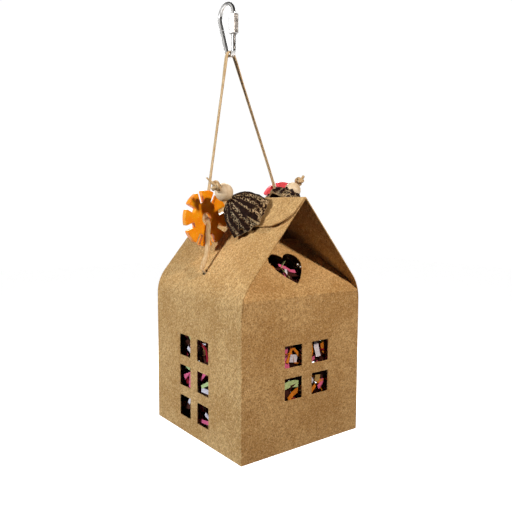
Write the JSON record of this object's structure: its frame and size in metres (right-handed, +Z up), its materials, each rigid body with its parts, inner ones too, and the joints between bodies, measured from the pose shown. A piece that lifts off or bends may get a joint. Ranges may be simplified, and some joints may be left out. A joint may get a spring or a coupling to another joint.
{
  "type": "hanging foraging house",
  "caption": "Card house with die-cut windows, filled with crinkle paper, hung by a leather lace with beads, slotted discs and pod cups from a pear-shaped quick link.",
  "frame": {"origin": "the hang point: inside the top bend of the quick link, where the hook, perch or bar bears", "axes": "+Z up; +Y along the roof ridge, from the front gable to the rear; +X across the gable, from the near wall to the far wall"},
  "size_m": [0.1116, 0.1086, 0.3045],
  "materials": {
    "kraft_card": "matte",
    "crinkle_paper": "matte",
    "lace_leather": "matte",
    "pale_wood": "satin",
    "pod_husk": "matte",
    "orange_plastic": "satin",
    "pink_plastic": "satin",
    "nickel_wire": "polished",
    "nickel_nut": "satin"
  },
  "bodies": {
    "link": {"quick_link": "nickel_wire"},
    "nut": {"gate_nut": "nickel_nut"},
    "house": {"near_wall_and_roof": "kraft_card", "far_wall_and_roof": "kraft_card", "front_gable": "kraft_card", "rear_gable": "kraft_card", "front_gusset": "kraft_card", "rear_gusset": "kraft_card", "ridge_flap": "kraft_card", "bottom_panel": "kraft_card", "tuck_tongue": "kraft_card", "near_dust_flap": "kraft_card", "far_dust_flap": "kraft_card", "glue_tab": "kraft_card", "paper_shred": "crinkle_paper", "leather_lace": "lace_leather", "near_knot": "lace_leather", "far_knot": "lace_leather"},
    "near_cup": {"near_bell_cup": "pod_husk"},
    "far_cup": {"far_bell_cup": "pod_husk"},
    "near_bead": {"near_bead": "pale_wood"},
    "far_bead": {"far_bead": "pale_wood"},
    "orange_disc": {"orange_disc": "orange_plastic"},
    "pink_disc": {"pink_disc": "pink_plastic"}
  },
  "joints": [
    {"name": "house_sway", "type": "hinge", "parent": "link", "child": "house", "pos_m": [0, -0.0044, -0.0354], "axis": [0, 1, 0], "range_deg": [-30, 30]},
    {"name": "gate_nut_travel", "type": "slide", "parent": "link", "child": "nut", "axis": [0, 0, 1], "range_m": [-0.008, 0]},
    {"name": "near_cup_spin", "type": "hinge", "parent": "house", "child": "near_cup", "pos_m": [-0.00057, -0.02935, -0.14922], "axis": [-0.7647, 0.0599, 0.6416], "continuous": true},
    {"name": "far_cup_spin", "type": "hinge", "parent": "house", "child": "far_cup", "pos_m": [0.03161, -0.02391, -0.14489], "axis": [0.7161, 0.3552, 0.6009], "continuous": true},
    {"name": "near_bead_spin", "type": "hinge", "parent": "house", "child": "near_bead", "pos_m": [-0.02114, -0.02774, -0.13196], "axis": [-0.8425, -0.1609, 0.5142], "continuous": true},
    {"name": "far_bead_spin", "type": "hinge", "parent": "house", "child": "far_bead", "pos_m": [0.05087, -0.01436, -0.12873], "axis": [0.7279, 0.2053, 0.6543], "continuous": true},
    {"name": "orange_disc_spin", "type": "hinge", "parent": "house", "child": "orange_disc", "pos_m": [-0.024, -0.009, -0.1497], "axis": [-0.1736, 0.9848, 0], "continuous": true},
    {"name": "pink_disc_spin", "type": "hinge", "parent": "house", "child": "pink_disc", "pos_m": [0.049, -0.0031, -0.1414], "axis": [0, 1, 0], "continuous": true}
  ]
}
